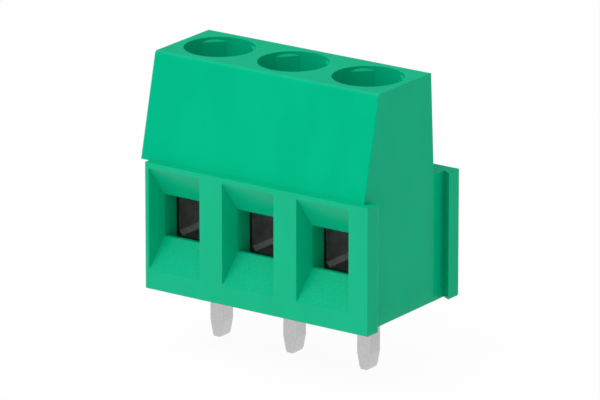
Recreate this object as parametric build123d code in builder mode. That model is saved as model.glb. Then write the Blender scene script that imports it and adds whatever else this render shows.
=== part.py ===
# Three-pole screw terminal block for a printed circuit board, 5.08 mm pitch.
# One green moulding holds, for each pole, a slotted clamp screw, a rising cage
# that the screw lifts, and a bent contact that ends below in a solder pin.
#
# Frame: X along the row of poles, +Y to the rear, +Z up. The origin is the centre
# of the middle solder pin, level with the underside that sits on the board.

from build123d import *
import os

os.makedirs("parts", exist_ok=True)

# Row of poles
poles = 3
pitch = 5.08
pole_x = [(number - (poles - 1) / 2) * pitch for number in range(poles)]

# Housing, seen from the side: a low wide base with a narrower tower on it
base_height = 7.46
tower_height = 6.01
pin_to_front = 4.57
front_ledge = 0.37
front_lean = 1.42
tower_top_depth = 5.15
rear_draft = 0.32
rear_ledge = 1.79
front_edge_radius = 0.2

# Joining features at the ends of the housing
flange_reach = 0.51
flange_thickness = 1.02
joining_gap = 0.03
dovetail_root = 0.71
dovetail_flare = 0.31

# Wire entries
funnel_width = 3.53
funnel_height = 5.98
funnel_depth = 1.1
wire_width = 2.88
wire_height = 2.48
wire_bottom = 2.91
sill_land = 0.25

# Screws and the shafts above them
screw_to_pin = 0.11
thread_diameter = 2.45
thread_gap = 0.05
head_diameter = 3.95
head_height = 1.3
slot_width = 0.6
slot_depth = 0.8
head_gap = 0.06
lip_overlap = 0.07
rim_depth = 0.13
head_chamfer = 0.15
tip_chamfer = 0.35

# Rising cages, each folded from one strip
cage_sheet = 0.55
cage_depth = 3.96
cage_bend = 0.25
cage_sill = 0.3
cage_side_gap = 0.08
cage_end_gap = 0.24
lap_gap = 0.03

# Contacts, each stamped and bent from one strip
strip = 0.92
bar_side_gap = 0.22
bar_over_entry = 0.05
bar_tip_gap = 0.1
bar_bend = 0.3
closing_gap = 0.08
barb = 0.1
barb_height = 0.5
barb_pitch = 0.9
foot_above_board = 0.55
shoulder_from_bend = 0.1
pin_length = 3.66
pin_taper = 0.96
pin_taper_width = 0.58
pin_nose = 0.16
pin_nose_width = 0.4

# Play between pieces: above what moves or is pushed in, and where one piece bears on another
free_gap = 0.1
seat_gap = 0.02

# Places that follow from the sizes above
body_width = poles * pitch
front_y = -pin_to_front
tower_foot_y = front_y + front_ledge
tower_front_y = tower_foot_y + front_lean
tower_rear_y = tower_front_y + tower_top_depth
tower_heel_y = tower_rear_y + rear_draft
rear_y = tower_heel_y + rear_ledge
top_z = base_height + tower_height
screw_y = -screw_to_pin
recess_depth = flange_reach + joining_gap

wire_top = wire_bottom + wire_height
wire_middle_z = (wire_bottom + wire_top) / 2
entry_y = front_y + funnel_depth
bar_bottom = wire_top + bar_over_entry
bar_top = bar_bottom + strip
cage_floor = wire_bottom - cage_sill
cage_ceiling = bar_top + free_gap
cage_travel = bar_bottom - cage_floor - closing_gap
cage_inside = max(wire_width, thread_diameter + 2 * thread_gap)
cage_width = cage_inside + 2 * cage_sheet
cage_top = cage_ceiling + 2 * cage_sheet + lap_gap
cage_rear_y = screw_y + cage_depth / 2

chamber_width = cage_width + 2 * cage_side_gap
chamber_depth = cage_depth + 2 * cage_end_gap
chamber_front_y = screw_y - chamber_depth / 2
chamber_rear_y = screw_y + chamber_depth / 2
chamber_top = cage_top + cage_travel + free_gap

bar_width = cage_inside - 2 * bar_side_gap
leg_front_y = chamber_rear_y
leg_rear_y = leg_front_y + strip
leg_slot_width = bar_width + 2 * barb

head_bottom = chamber_top + seat_gap
head_top = head_bottom + head_height
shaft_radius = head_diameter / 2 + head_gap
lip_bottom = head_top + free_gap
lip_across = head_diameter - 2 * lip_overlap
lip_top = top_z - rim_depth - (shaft_radius - lip_across / 2)
screw_tip = bar_top + seat_gap


# A drawing plane that faces the front, with its own origin, X to the right and Z up
def front_plane(x, y, z=0):
    return Plane(origin=(x, y, z), x_dir=(1, 0, 0), z_dir=(0, -1, 0))


# Housing: one moulding, open below, with a funnel and a screw shaft for each pole
with BuildPart() as housing:
    with BuildSketch(Plane.YZ):
        with BuildLine():
            Polyline(
                (front_y, 0),
                (rear_y, 0),
                (rear_y, base_height),
                (tower_heel_y, base_height),
                (tower_rear_y, top_z),
                (tower_front_y, top_z),
                (tower_foot_y, base_height),
                (front_y, base_height),
                close=True,
            )
        make_face()
    extrude(amount=body_width / 2, both=True)

    # The edge between the leaning front and the top is rounded
    top_edges = housing.edges().filter_by(Axis.X).group_by(Axis.Z)[-1]
    fillet(top_edges.sort_by(Axis.Y)[0], radius=front_edge_radius)

    # The front plate runs past the right end and leaves room at the left for a neighbour
    with BuildSketch():
        with Locations((body_width / 2, front_y)):
            Rectangle(flange_reach, flange_thickness, align=(Align.MIN, Align.MIN))
    extrude(amount=base_height)
    with BuildSketch():
        with Locations((-body_width / 2, front_y)):
            Rectangle(recess_depth, flange_thickness + joining_gap, align=(Align.MIN, Align.MIN))
    extrude(amount=base_height, mode=Mode.SUBTRACT)

    # A dovetail rib at the right rear corner, and the groove that takes it at the left
    with BuildSketch():
        with BuildLine():
            Polyline(
                (body_width / 2, rear_y),
                (body_width / 2, rear_y - dovetail_root),
                (body_width / 2 + flange_reach, rear_y - dovetail_root - dovetail_flare),
                (body_width / 2 + flange_reach, rear_y),
                close=True,
            )
        make_face()
    extrude(amount=base_height)
    with BuildSketch():
        with BuildLine():
            Polyline(
                (-body_width / 2, rear_y),
                (-body_width / 2, rear_y - dovetail_root - joining_gap),
                (-body_width / 2 + recess_depth, rear_y - dovetail_root - dovetail_flare - joining_gap),
                (-body_width / 2 + recess_depth, rear_y),
                close=True,
            )
        make_face()
    extrude(amount=base_height, mode=Mode.SUBTRACT)

    for x in pole_x:
        # Funnel that guides the wire in, down to the square entry
        with BuildSketch(front_plane(x, front_y, wire_middle_z)):
            Rectangle(funnel_width, funnel_height)
        with BuildSketch(front_plane(x, entry_y, wire_middle_z)):
            Rectangle(wire_width, wire_height)
        loft(mode=Mode.SUBTRACT)

        # Square entry through the front wall
        with BuildSketch(front_plane(x, chamber_front_y, wire_middle_z)):
            Rectangle(wire_width, wire_height)
        extrude(amount=chamber_front_y - entry_y, mode=Mode.SUBTRACT)

        # Behind the thin sill the entry is open below, so that a wire meets no step in front of the cage
        with BuildSketch(Plane(origin=(x, chamber_front_y, 0))):
            Rectangle(wire_width, chamber_front_y - entry_y - sill_land, align=(Align.CENTER, Align.MAX))
        extrude(amount=wire_bottom, mode=Mode.SUBTRACT)

        # Chamber for the cage, and the slot behind it for the contact's leg, both open below
        with BuildSketch(Plane(origin=(x, screw_y, 0))):
            Rectangle(chamber_width, chamber_depth)
        extrude(amount=chamber_top, mode=Mode.SUBTRACT)
        with BuildSketch(Plane(origin=(x, chamber_rear_y, 0))):
            Rectangle(leg_slot_width, leg_rear_y - chamber_rear_y, align=(Align.CENTER, Align.MIN))
        extrude(amount=bar_top + free_gap, mode=Mode.SUBTRACT)

        # Shaft for the screw head, from the chamber to the retaining lips
        with BuildSketch(Plane(origin=(x, screw_y, chamber_top))):
            Circle(shaft_radius)
        extrude(amount=lip_bottom - chamber_top, mode=Mode.SUBTRACT)

        # Four flats with sloping tops narrow the shaft above the head, so that the screw cannot fall out
        with BuildPart(mode=Mode.PRIVATE) as opening:
            with BuildSketch(Plane(origin=(x, screw_y, lip_bottom))):
                Rectangle(lip_across, lip_across, rotation=45)
            extrude(amount=lip_top - lip_bottom)
            extrude(opening.faces().sort_by(Axis.Z)[-1], amount=top_z - lip_top, taper=-45)
            with BuildSketch(Plane(origin=(x, screw_y, lip_bottom))):
                Circle(shaft_radius)
            extrude(amount=top_z - lip_bottom, mode=Mode.INTERSECT)
        add(opening.part, mode=Mode.SUBTRACT)

housing.part.label = "housing"
export_step(housing.part, "parts/housing.step")


for number, x in enumerate(pole_x, start=1):
    # Clamp screw: slotted cheese head, plain where the thread runs
    with BuildPart() as clamp_screw:
        with BuildSketch(front_plane(x, screw_y)):
            with BuildLine():
                Polyline(
                    (0, screw_tip),
                    (thread_diameter / 2 - tip_chamfer, screw_tip),
                    (thread_diameter / 2, screw_tip + tip_chamfer),
                    (thread_diameter / 2, head_bottom),
                    (head_diameter / 2, head_bottom),
                    (head_diameter / 2, head_top - head_chamfer),
                    (head_diameter / 2 - head_chamfer, head_top),
                    (0, head_top),
                    close=True,
                )
            make_face()
        revolve(axis=Axis((x, screw_y, 0), (0, 0, 1)))
        with BuildSketch(Plane(origin=(x, screw_y, head_top))):
            Rectangle(head_diameter, slot_width)
        extrude(amount=-slot_depth, mode=Mode.SUBTRACT)
    clamp_screw.part.label = f"clamp_screw_{number}"
    export_step(clamp_screw.part, f"parts/clamp_screw_{number}.step")

    # Rising cage: a strip folded round the contact's bar with flat corners, its two ends lapped and tapped
    with BuildPart() as rising_cage:
        half_sheet = cage_sheet / 2
        wall_x = cage_inside / 2 + half_sheet
        corner = cage_bend + half_sheet * (2 - 2**0.5)
        bottom = cage_floor - half_sheet
        lower_lap = cage_ceiling + half_sheet
        upper_lap = cage_top - half_sheet
        with BuildSketch(front_plane(x, cage_rear_y)):
            with BuildLine():
                Polyline(
                    (cage_inside / 2 - cage_bend, lower_lap),
                    (corner - wall_x, lower_lap),
                    (-wall_x, lower_lap - corner),
                    (-wall_x, bottom + corner),
                    (corner - wall_x, bottom),
                    (wall_x - corner, bottom),
                    (wall_x, bottom + corner),
                    (wall_x, upper_lap - corner),
                    (wall_x - corner, upper_lap),
                    (cage_bend + cage_sheet - cage_width / 2, upper_lap),
                )
            trace(line_width=cage_sheet)
        extrude(amount=cage_depth)
        with Locations((x, screw_y, cage_ceiling)):
            Cylinder(
                thread_diameter / 2 + thread_gap,
                cage_top - cage_ceiling,
                align=(Align.CENTER, Align.CENTER, Align.MIN),
                mode=Mode.SUBTRACT,
            )
    rising_cage.part.label = f"rising_cage_{number}"
    export_step(rising_cage.part, f"parts/rising_cage_{number}.step")

    # Contact: bar through the cage, leg behind it, foot below it and solder pin, in one bent strip
    with BuildPart() as solder_contact:
        half_strip = strip / 2
        leg_y = leg_front_y + half_strip
        foot_z = foot_above_board + half_strip
        with BuildLine() as bends:
            FilletPolyline(
                (x, chamber_front_y + bar_tip_gap, bar_bottom + half_strip),
                (x, leg_y, bar_bottom + half_strip),
                (x, leg_y, foot_z),
                (x, 0, foot_z),
                (x, 0, -pin_length),
                radius=bar_bend + half_strip,
            )
        with BuildSketch(front_plane(x, chamber_front_y + bar_tip_gap, bar_bottom + half_strip)):
            Rectangle(bar_width, strip)
        sweep(path=bends.line)

        # The foot narrows to the width of the pin before it bends down
        foot_top = foot_above_board + strip
        shoulder_y = half_strip + bar_bend + shoulder_from_bend
        side_cut = (bar_width - strip) / 2
        with BuildSketch(Plane(origin=(x, 0, -pin_length))):
            with BuildLine():
                Polyline(
                    (half_strip, -strip),
                    (half_strip, shoulder_y),
                    (half_strip + side_cut, shoulder_y + side_cut),
                    (half_strip + side_cut, -strip),
                    close=True,
                )
            make_face()
            mirror(about=Plane.YZ)
        extrude(amount=pin_length + foot_top, mode=Mode.SUBTRACT)

        # The pin's end is narrowed from both sides
        with BuildSketch(front_plane(x, half_strip)):
            with BuildLine():
                Polyline(
                    (half_strip, pin_taper - pin_length),
                    (pin_taper_width / 2, pin_nose - pin_length),
                    (pin_nose_width / 2, -pin_length),
                    (half_strip, -pin_length),
                    close=True,
                )
            make_face()
            mirror(about=Plane.YZ)
        extrude(amount=strip, mode=Mode.SUBTRACT)

        # Barbs on both edges of the leg hold it in its slot
        with BuildSketch(front_plane(x, leg_rear_y)):
            for level in (-1, 1):
                barb_z = (bar_bottom + foot_top) / 2 + (level * barb_pitch - barb_height) / 2
                with BuildLine():
                    Polyline(
                        (bar_width / 2, barb_z),
                        (bar_width / 2 + barb, barb_z),
                        (bar_width / 2, barb_z + barb_height),
                        close=True,
                    )
                make_face()
            mirror(about=Plane.YZ)
        extrude(amount=strip)
    solder_contact.part.label = f"solder_contact_{number}"
    export_step(solder_contact.part, f"parts/solder_contact_{number}.step")
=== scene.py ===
# Three-pole screw terminal block: green housing, solder contacts, rising cages and clamp screws.
import math

import bmesh
import bpy
from mathutils import Matrix, Vector


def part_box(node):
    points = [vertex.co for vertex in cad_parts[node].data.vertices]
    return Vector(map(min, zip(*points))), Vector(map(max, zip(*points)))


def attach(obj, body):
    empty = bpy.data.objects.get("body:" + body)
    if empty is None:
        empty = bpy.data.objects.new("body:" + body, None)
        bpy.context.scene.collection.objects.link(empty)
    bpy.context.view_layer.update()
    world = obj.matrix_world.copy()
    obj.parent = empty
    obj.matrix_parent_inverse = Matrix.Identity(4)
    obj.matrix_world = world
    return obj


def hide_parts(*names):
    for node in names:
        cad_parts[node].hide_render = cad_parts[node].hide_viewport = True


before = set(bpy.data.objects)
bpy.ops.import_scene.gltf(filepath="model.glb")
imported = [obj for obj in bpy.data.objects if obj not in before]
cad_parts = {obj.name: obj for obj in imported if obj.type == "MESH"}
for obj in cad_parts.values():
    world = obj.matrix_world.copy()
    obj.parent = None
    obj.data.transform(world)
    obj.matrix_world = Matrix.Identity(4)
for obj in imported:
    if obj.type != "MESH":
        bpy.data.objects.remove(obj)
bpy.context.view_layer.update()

# Housing. One moulding of green polyamide, shot in a polished steel tool, so its faces are
# smooth and glossy with a thin round on every edge. The lower face of each wire funnel is
# spark eroded in the tool and comes out finely grained. The upper one is duller at its mouth.
MM = 0.001
POLES = (1, 2, 3)
GREEN = (0.0, 0.476, 0.241)
GREEN_FLOW = (0.0, 0.496, 0.254)
GREEN_GRAINED = (0.0, 0.435, 0.223)
GREEN_SPECULAR = 0.15
POLISHED = 0.06
FLOW_ROUGHNESS = 0.04
GRAINED_ROUGHNESS = 0.08
DULL_ROUGHNESS = 0.17
MOTTLING = (0.35, 0.65)
FLOW_MARK = 2.4 * MM
FLOW_STRETCH = (1.0, 1.0, 2.5)
RIPPLE = 0.9 * MM
RIPPLE_RELIEF = 0.08
SPARK_GRAIN = 0.08 * MM
SPARK_DEPTH = 0.012 * MM
EDGE_ROUND = 0.05 * MM
EDGE_SAMPLES = 6
FUNNEL_DEPTH = 1.1 * MM
DULL_DEPTHS = (0.3 * FUNNEL_DEPTH, 0.95 * FUNNEL_DEPTH)
UPWARD_ON_LOWER = (0.35, 0.75)
UPWARD_ON_UPPER = (-0.7, -0.3)
FRONT_SKIN = 0.01 * MM
LOW_DOWN = 4.5 * MM


class Value:
    """One output of a node. Arithmetic on it adds the Math node that it needs."""

    def __init__(self, tree, socket):
        self.tree = tree
        self.socket = socket

    def maths(self, operation, *terms):
        return self.tree.add("ShaderNodeMath", {"operation": operation}, dict(enumerate(terms)))

    def __add__(self, other):
        return self.maths("ADD", self, other)

    def __sub__(self, other):
        return self.maths("SUBTRACT", self, other)

    def __rsub__(self, other):
        return self.maths("SUBTRACT", other, self)

    def __mul__(self, other):
        return self.maths("MULTIPLY", self, other)

    def __gt__(self, other):
        return self.maths("GREATER_THAN", self, other)

    def __lt__(self, other):
        return self.maths("LESS_THAN", self, other)

    def __abs__(self):
        return self.maths("ABSOLUTE", self)

    __radd__ = __add__
    __rmul__ = __mul__

    def sine(self):
        return self.maths("SINE", self)

    def between(self, low, high):
        """1 between low and high, and 0 elsewhere."""
        return (self > low) * (self < high)

    def ramp(self, low, high):
        """0 below low and 1 above high, with a soft step between them."""
        settings = {"interpolation_type": "SMOOTHSTEP"}
        sockets = {"Value": self, "From Min": low, "From Max": high}
        return self.tree.add("ShaderNodeMapRange", settings, sockets)


class Nodes:
    """A node tree, and the one way in which nodes are added to it."""

    def __init__(self, tree):
        self.nodes = tree.nodes
        self.links = tree.links

    def feed(self, node, sockets):
        for key, value in sockets.items():
            socket = node.inputs[key]
            if isinstance(value, Value):
                self.links.new(value.socket, socket)
            elif socket.type == "RGBA":
                socket.default_value = (*value, 1.0)
            else:
                socket.default_value = value

    def add(self, kind, settings=None, sockets=None, output=0):
        node = self.nodes.new(kind)
        for key, value in (settings or {}).items():
            setattr(node, key, value)
        self.feed(node, sockets or {})
        return Value(self, node.outputs[output])

    def part(self, vector, name):
        """The X, Y or Z of a vector."""
        return self.add("ShaderNodeSeparateXYZ", None, {0: vector}, output=name)

    def stretched(self, vector, factors):
        return self.add("ShaderNodeVectorMath", {"operation": "MULTIPLY"}, {0: vector, 1: factors})

    def length(self, vector):
        return self.add("ShaderNodeVectorMath", {"operation": "LENGTH"}, {0: vector}, output="Value")

    def mixed(self, low, high, amount):
        """A colour between two others."""
        sockets = {"Factor": amount, 6: low, 7: high}
        return self.add("ShaderNodeMix", {"data_type": "RGBA"}, sockets, output=2)


class Finish(Nodes):
    """A material with one Principled shader, whose constants are given by name."""

    def __init__(self, name, **constants):
        self.material = bpy.data.materials.new(name)
        self.material.use_nodes = True
        super().__init__(self.material.node_tree)
        self.shader = self.nodes["Principled BSDF"]
        self.place = self.add("ShaderNodeTexCoord", output="Object")
        self.facing = self.add("ShaderNodeNewGeometry", output="Normal")
        self.set(**constants)

    def set(self, **sockets):
        self.feed(self.shader, {key.replace("_", " "): value for key, value in sockets.items()})

    def grain(self, size, detail=2.0, stretch=(1.0, 1.0, 1.0)):
        """Noise from 0 to 1 with lumps of about the given size."""
        place = self.stretched(self.place, [1.0 / (size * part) for part in stretch])
        return self.add("ShaderNodeTexNoise", None, {"Vector": place, "Scale": 1.0, "Detail": detail})

    def surface(self, relief, depth, edge_round):
        """Relief from 0 to 1, as deep as given, on a surface whose edges are rounded a little."""
        rounded = self.add("ShaderNodeBevel", {"samples": EDGE_SAMPLES}, {"Radius": edge_round})
        sockets = {"Height": relief, "Distance": depth, "Normal": rounded}
        self.set(Normal=self.add("ShaderNodeBump", None, sockets))

    def onto(self, thing):
        thing.data.materials.clear()
        thing.data.materials.append(self.material)


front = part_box("housing")[0].y
moulding = Finish("green_moulding", Specular_IOR_Level=GREEN_SPECULAR)
upward = moulding.part(moulding.facing, "Z")
behind_front = moulding.part(moulding.place, "Y") - front
low_down = moulding.part(moulding.place, "Z") < LOW_DOWN
grained = upward.between(*UPWARD_ON_LOWER) * (behind_front > FRONT_SKIN) * low_down
dull = upward.between(*UPWARD_ON_UPPER) * (1.0 - behind_front.ramp(*DULL_DEPTHS))
flow = moulding.grain(FLOW_MARK, detail=3.0, stretch=FLOW_STRETCH)
ripple = moulding.grain(RIPPLE, detail=1.0)
spark = moulding.grain(SPARK_GRAIN)
smooth_green = moulding.mixed(GREEN, GREEN_FLOW, flow.ramp(*MOTTLING))
grained_green = moulding.mixed(GREEN_GRAINED, GREEN_FLOW, spark.ramp(*MOTTLING))
uneven = flow * FLOW_ROUGHNESS + grained * GRAINED_ROUGHNESS + dull * DULL_ROUGHNESS
moulding.set(
    Base_Color=moulding.mixed(smooth_green, grained_green, grained),
    Roughness=POLISHED + uneven,
)
moulding.surface(ripple * RIPPLE_RELIEF + grained * spark, SPARK_DEPTH, EDGE_ROUND)
moulding.onto(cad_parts["housing"])


# Solder contacts. Each is stamped from brass strip, bent round and plated with matte tin. It
# is pushed into its slot from below until the barbs on its leg bite.
TIN = (0.66, 0.655, 0.66)
TIN_DULL = (0.575, 0.57, 0.575)
TIN_ROUGHNESS = 0.28
CRYSTAL_ROUGHNESS = 0.15
SHEARED_ROUGHNESS = 0.05
CRYSTALS = 0.12 * MM
CRYSTAL_RELIEF = 0.4
SHEAR_MARK = 0.05 * MM
SHEAR_STRETCH = (1.0, 1.0, 10.0)
SHEAR_RELIEF = 0.6
TIN_DEPTH = 0.006 * MM
METAL_PATCHES = (0.3, 0.7)
METAL_EDGE_ROUND = 0.04 * MM
SQUARE_ON = 0.9

tin = Finish("tinned_contact", Metallic=1.0)
crystals = tin.grain(CRYSTALS, detail=3.0)
shear_marks = tin.grain(SHEAR_MARK, detail=1.0, stretch=SHEAR_STRETCH)
cut_side = abs(tin.part(tin.facing, "X")) > SQUARE_ON
tin.set(
    Base_Color=tin.mixed(TIN_DULL, TIN, crystals.ramp(*METAL_PATCHES)),
    Roughness=TIN_ROUGHNESS + crystals * CRYSTAL_ROUGHNESS + cut_side * SHEARED_ROUGHNESS,
)
tin_relief = crystals * CRYSTAL_RELIEF + cut_side * shear_marks * SHEAR_RELIEF
tin.surface(tin_relief, TIN_DEPTH, METAL_EDGE_ROUND)
for pole in POLES:
    tin.onto(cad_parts[f"solder_contact_{pole}"])


# Rising cages. Each is folded from nickel plated steel strip and lapped on top, where the
# screw's thread lifts it. The plating is greyer further in, where it takes worse. The bends
# carry a painted highlight and the floor a painted shade. The cut edges are bare steel,
# painted near black as painted shade, with a painted green reflection of the moulding.
NICKEL = (0.92, 0.81, 0.86)
NICKEL_SHADE = (0.68, 0.59, 0.635)
# A lighter colour for the bends that face upwards: a painted highlight where the bends catch the light.
BEND_PAINTED_HIGHLIGHT = (1.0, 0.91, 0.95)
# A dark colour for the faces that point upwards, such as the cage's floor: painted shade for the shade
# inside the cage.
FLOOR_PAINTED_SHADE = (0.26, 0.25, 0.255)
# The cut edges are bare steel. This near black is painted shade, and its green is a painted reflection
# of the moulding.
CUT_EDGE_PAINTED_SHADE = (0.04, 0.15, 0.11)
NICKEL_ROUGHNESS = 0.3
TARNISHED_ROUGHNESS = 0.2
CUT_ROUGHNESS = 0.3
GREYER = 0.6
BEND_GREYER = 0.35
PLATED_DEPTH = 2.4 * MM
TARNISH = 0.8 * MM
DRAWN_LINE = 0.035 * MM
DRAWN_STRETCH = (1.0, 14.0, 1.0)
DRAWN_DEPTH = 0.004 * MM
UPWARD_ON_BEND = (0.5, 0.9)

cage_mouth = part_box("rising_cage_2")[0].y
nickel = Finish("nickel_plated_cage")
tarnish = nickel.grain(TARNISH, detail=4.0)
drawn_lines = nickel.grain(DRAWN_LINE, detail=1.0, stretch=DRAWN_STRETCH)
cut_edge = nickel.part(nickel.facing, "Y") < -SQUARE_ON
upward = nickel.part(nickel.facing, "Z")
bend = upward.between(*UPWARD_ON_BEND)
inward = (nickel.part(nickel.place, "Y") - cage_mouth).ramp(0.0, PLATED_DEPTH)
plated = nickel.mixed(NICKEL_SHADE, NICKEL, tarnish.ramp(*METAL_PATCHES))
# The bends are painted lighter here: a painted highlight.
bend_highlighted = nickel.mixed(plated, BEND_PAINTED_HIGHLIGHT, bend)
# The upward faces are painted dark here: painted shade on the cage's floor.
floor_shaded = nickel.mixed(bend_highlighted, FLOOR_PAINTED_SHADE, upward > SQUARE_ON)
nickel.set(
    # The cut edges are painted dark green here: painted shade with a painted reflection of the
    # moulding.
    Base_Color=nickel.mixed(floor_shaded, CUT_EDGE_PAINTED_SHADE, cut_edge),
    Roughness=NICKEL_ROUGHNESS + tarnish * TARNISHED_ROUGHNESS + cut_edge * CUT_ROUGHNESS,
    Metallic=1.0 - inward * (GREYER + bend * BEND_GREYER),
)
nickel.surface(drawn_lines, DRAWN_DEPTH, METAL_EDGE_ROUND)
for pole in POLES:
    nickel.onto(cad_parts[f"rising_cage_{pole}"])


# Clamp screws. Slotted steel screws, M2.5 with a pitch of 0.45 mm, with a rolled thread and a
# turned head, zinc plated. Each stands on its contact's bar and cannot pass the lips above it.
THREAD_RADIUS = 1.225 * MM
THREAD_PITCH = 0.45 * MM
THREAD_DEPTH = 0.26 * MM
CREST = 0.14
FLANK = 0.34
RUN_OUT = 0.8
HEAD_HEIGHT = 1.3 * MM
HEAD_CHAMFER = 0.15 * MM
TIP_CHAMFER = 0.35 * MM
SLOT_WIDTH = 0.6 * MM
SLOT_DEPTH = 0.8 * MM
SLOT_MARGIN = 0.006 * MM
CUTTER_REACH = 3.0
AROUND = 64
RINGS_A_TURN = 16
SHARP_EDGE = math.radians(35.0)
ZINC = (0.68, 0.69, 0.7)
ZINC_CLOUD = (0.58, 0.59, 0.61)
# Painted shade in the slot: the zinc is painted darker towards the slot's bottom.
SLOT_PAINTED_SHADE = (0.24, 0.247, 0.255)
ZINC_ROUGHNESS = 0.24
CLOUD_ROUGHNESS = 0.08
SUNK_ROUGHNESS = 0.3
CLOUD = 0.4 * MM
CLOUD_RELIEF = 0.3
TURNING_MARK = 0.16 * MM
TURNING_RELIEF = 0.4
ZINC_DEPTH = 0.004 * MM


def thread_radius(height, turn, length):
    """The shank's radius at a height above its tip, on the side that lies at this part of a turn."""
    phase = (height / THREAD_PITCH - turn) % 1.0
    off_crest = min(phase, 1.0 - phase) - CREST / 2.0
    rise = 1.0 - min(max(off_crest / FLANK, 0.0), 1.0)
    run_out = min((length - height) / (RUN_OUT * THREAD_PITCH), 1.0)
    radius = THREAD_RADIUS - THREAD_DEPTH * (1.0 - rise * run_out)
    return min(radius, THREAD_RADIUS - TIP_CHAMFER + height)


def ring(mesh, height, radius_at):
    """A ring of points at one height, where radius_at gives the radius for a part of a turn."""
    points = []
    for place in range(AROUND):
        turn = place / AROUND
        angle = 2.0 * math.pi * turn
        radius = radius_at(turn)
        points.append(mesh.verts.new((radius * math.cos(angle), radius * math.sin(angle), height)))
    return points


def add_object(name, mesh):
    """A bmesh as an object of its own."""
    data = bpy.data.meshes.new(name)
    mesh.to_mesh(data)
    mesh.free()
    thing = bpy.data.objects.new(name, data)
    bpy.context.scene.collection.objects.link(thing)
    return thing


def turned_screw(name, length, head_radius):
    """Threaded shank and chamfered head on the Z axis, with the tip at zero, not yet slotted."""
    mesh = bmesh.new()
    steps = round(length / THREAD_PITCH * RINGS_A_TURN)
    heights = [length * step / steps for step in range(steps + 1)]
    rings = [ring(mesh, height, lambda turn: thread_radius(height, turn, length)) for height in heights]
    top = length + HEAD_HEIGHT
    rings.append(ring(mesh, length, lambda turn: head_radius))
    rings.append(ring(mesh, top - HEAD_CHAMFER, lambda turn: head_radius))
    rings.append(ring(mesh, top, lambda turn: head_radius - HEAD_CHAMFER))
    for lower, upper in zip(rings, rings[1:]):
        for place in range(AROUND):
            after = (place + 1) % AROUND
            mesh.faces.new((lower[place], lower[after], upper[after], upper[place]))
    mesh.faces.new(reversed(rings[0]))
    mesh.faces.new(rings[-1])
    return add_object(name, mesh)


def mill_slot(screw, top, head_radius):
    """Mills a slot across the screw's head, whose top is at this height."""
    mesh = bmesh.new()
    bmesh.ops.create_cube(mesh, size=1.0)
    size = (CUTTER_REACH * head_radius, SLOT_WIDTH, 2.0 * SLOT_DEPTH)
    bmesh.ops.scale(mesh, vec=size, verts=mesh.verts)
    bmesh.ops.translate(mesh, vec=(0.0, 0.0, top), verts=mesh.verts)
    cutter = add_object("slot_cutter", mesh)
    cut = screw.modifiers.new("slot", "BOOLEAN")
    cut.object = cutter
    bpy.context.view_layer.update()
    depsgraph = bpy.context.evaluated_depsgraph_get()
    screw.data = bpy.data.meshes.new_from_object(screw.evaluated_get(depsgraph))
    screw.modifiers.clear()
    bpy.data.objects.remove(cutter)
    screw.data.shade_smooth()
    screw.data.set_sharp_from_angle(angle=SHARP_EDGE)


low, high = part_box("clamp_screw_2")
zinc = Finish("zinc_plated_screw", Metallic=1.0)
cloud = zinc.grain(CLOUD)
from_axis = zinc.length(zinc.stretched(zinc.place, (1.0, 1.0, 0.0)))
from_slot = abs(zinc.part(zinc.place, "Y"))
below_top = (high.z - low.z) - zinc.part(zinc.place, "Z")
in_slot = (from_slot < SLOT_WIDTH / 2.0 + SLOT_MARGIN) * (below_top < SLOT_DEPTH + SLOT_MARGIN)
# sunk grows from the head's top to the slot's bottom. It paints shade into the slot and also roughens
# it.
sunk = in_slot * below_top.ramp(0.0, SLOT_DEPTH)
on_head = (zinc.part(zinc.facing, "Z") > SQUARE_ON) * (below_top < SLOT_DEPTH / 2.0)
turning_marks = (from_axis * (2.0 * math.pi / TURNING_MARK)).sine() * on_head
clouded = zinc.mixed(ZINC_CLOUD, ZINC, cloud.ramp(*METAL_PATCHES))
zinc.set(
    # The slot is painted darker with depth here: painted shade.
    Base_Color=zinc.mixed(clouded, SLOT_PAINTED_SHADE, sunk),
    Roughness=ZINC_ROUGHNESS + cloud * CLOUD_ROUGHNESS + sunk * SUNK_ROUGHNESS,
)
zinc_relief = turning_marks * TURNING_RELIEF + cloud * CLOUD_RELIEF
zinc.surface(zinc_relief, ZINC_DEPTH, METAL_EDGE_ROUND)
for pole in POLES:
    low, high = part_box(f"clamp_screw_{pole}")
    shank = high.z - low.z - HEAD_HEIGHT
    head_radius = (high.x - low.x) / 2.0
    screw = turned_screw(f"threaded_screw_{pole}", shank, head_radius)
    mill_slot(screw, shank + HEAD_HEIGHT, head_radius)
    screw.location = ((low.x + high.x) / 2.0, (low.y + high.y) / 2.0, low.z)
    zinc.onto(screw)
    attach(screw, f"screw_{pole}")
    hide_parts(f"clamp_screw_{pole}")


# Table. A plain pale sheet at the level of the pins' tips. The camera sees it nearly white,
# with the block's soft shadow. What gloss and metal mirror of it is white near the block,
# dimmer to the right and dark far away.
TABLE_SIZE = 2.0
TABLE_GREY = 0.84
WHITENESS = 0.96
LIT_NEAR = 60.0 * MM
LIT_FAR = 300.0 * MM
RIGHT_NEAR = 11.5 * MM
RIGHT_FAR = 15.5 * MM
DIMMER_SHEET = 0.62

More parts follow.
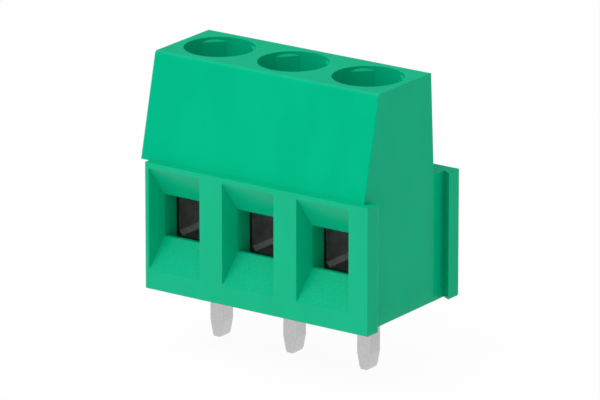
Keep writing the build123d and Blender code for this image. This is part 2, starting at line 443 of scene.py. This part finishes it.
mesh = bmesh.new()
bmesh.ops.create_grid(mesh, size=TABLE_SIZE / 2.0)
table = add_object("table", mesh)
table.location.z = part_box("solder_contact_2")[0].z
pale = Finish("pale_table", Base_Color=(TABLE_GREY,) * 3, Roughness=1.0, Specular_IOR_Level=0.0)
seen = pale.add("ShaderNodeLightPath", output="Is Camera Ray")
mirrored = pale.add("ShaderNodeLightPath", output="Is Glossy Ray")
white = pale.add("ShaderNodeEmission", None, {"Color": (1.0, 1.0, 1.0), "Strength": 1.0})
matt = Value(pale, pale.shader.outputs[0])
away = pale.length(pale.place)
to_right = pale.part(pale.place, "X").ramp(RIGHT_NEAR, RIGHT_FAR)
lit = (1.0 - away.ramp(LIT_NEAR, LIT_FAR)) * (1.0 - to_right * DIMMER_SHEET)
unmirrored = pale.add("ShaderNodeMixShader", None, {0: mirrored, 1: matt})
bright = (seen + mirrored * lit) * WHITENESS
sheet = pale.add("ShaderNodeMixShader", None, {0: bright, 1: unmirrored, 2: white})
pale.feed(pale.nodes["Material Output"], {"Surface": sheet})
pale.onto(table)


# Studio light. A white surround that the camera sees plain. It lights the block more from
# above, from the front and from the left, and gloss mirrors it dark at the horizon. One broad
# soft lamp stands above the front.
SURROUND = 0.71
DIMMER_RIGHT = 0.45
BRIGHTER_FRONT = 0.1
BRIGHTER_ABOVE = 0.3
MIRRORED_ZENITH = 0.42
NEAR_ZENITH = 0.9
KEY_STRENGTH = 0.85
KEY_WIDTH = math.radians(40.0)
KEY_FROM = Vector((-0.18, -0.5, 0.85))

world = bpy.data.worlds.new("studio")
world.use_nodes = True
bpy.context.scene.world = world
studio = Nodes(world.node_tree)
towards = studio.add("ShaderNodeTexCoord", output="Generated")
height = studio.part(towards, "Z")
mirrored = studio.add("ShaderNodeLightPath", output="Is Glossy Ray")
seen = studio.add("ShaderNodeLightPath", output="Is Camera Ray")
dimming = studio.part(towards, "X") * DIMMER_RIGHT + studio.part(towards, "Y") * BRIGHTER_FRONT
plain = (1.0 + height * BRIGHTER_ABOVE - dimming) * SURROUND
gloss = plain + mirrored * (height.ramp(0.0, NEAR_ZENITH) * MIRRORED_ZENITH - plain)
strength = gloss + seen * (1.0 - gloss)
studio.feed(studio.nodes["Background"], {"Color": (1.0, 1.0, 1.0), "Strength": strength})
key_data = bpy.data.lights.new("key", "SUN")
key_data.energy = KEY_STRENGTH
key_data.angle = KEY_WIDTH
key = bpy.data.objects.new("key", key_data)
key.rotation_euler = KEY_FROM.to_track_quat("Z", "Y").to_euler()
bpy.context.scene.collection.objects.link(key)


# Camera. It stands to the right of the front and a little above, far off behind a long lens.
AZIMUTH = math.radians(34.977)
ELEVATION = math.radians(17.532)
DISTANCE = 385.09 * MM
AIM = Vector((0.0, -0.57, 6.0)) * MM
SIDEWAYS = 0.6303 * MM
DOWNWARDS = 0.5215 * MM
LENS = 410.8
FILM_WIDTH = 36.0
NEAREST_SEEN = 0.01

right = Vector((math.cos(AZIMUTH), math.sin(AZIMUTH), 0.0))
back = Vector((math.sin(AZIMUTH), -math.cos(AZIMUTH), 0.0)) * math.cos(ELEVATION)
back.z = math.sin(ELEVATION)
up = back.cross(right)
lens = bpy.data.cameras.new("camera")
lens.lens = LENS
lens.sensor_width = FILM_WIDTH
lens.clip_start = NEAREST_SEEN
camera = bpy.data.objects.new("camera", lens)
bpy.context.scene.collection.objects.link(camera)
stand = AIM + right * SIDEWAYS - up * DOWNWARDS + back * DISTANCE
camera.matrix_world = Matrix.Translation(stand) @ Matrix((right, up, back)).transposed().to_4x4()
bpy.context.scene.camera = camera
bpy.context.scene.view_settings.view_transform = "Standard"
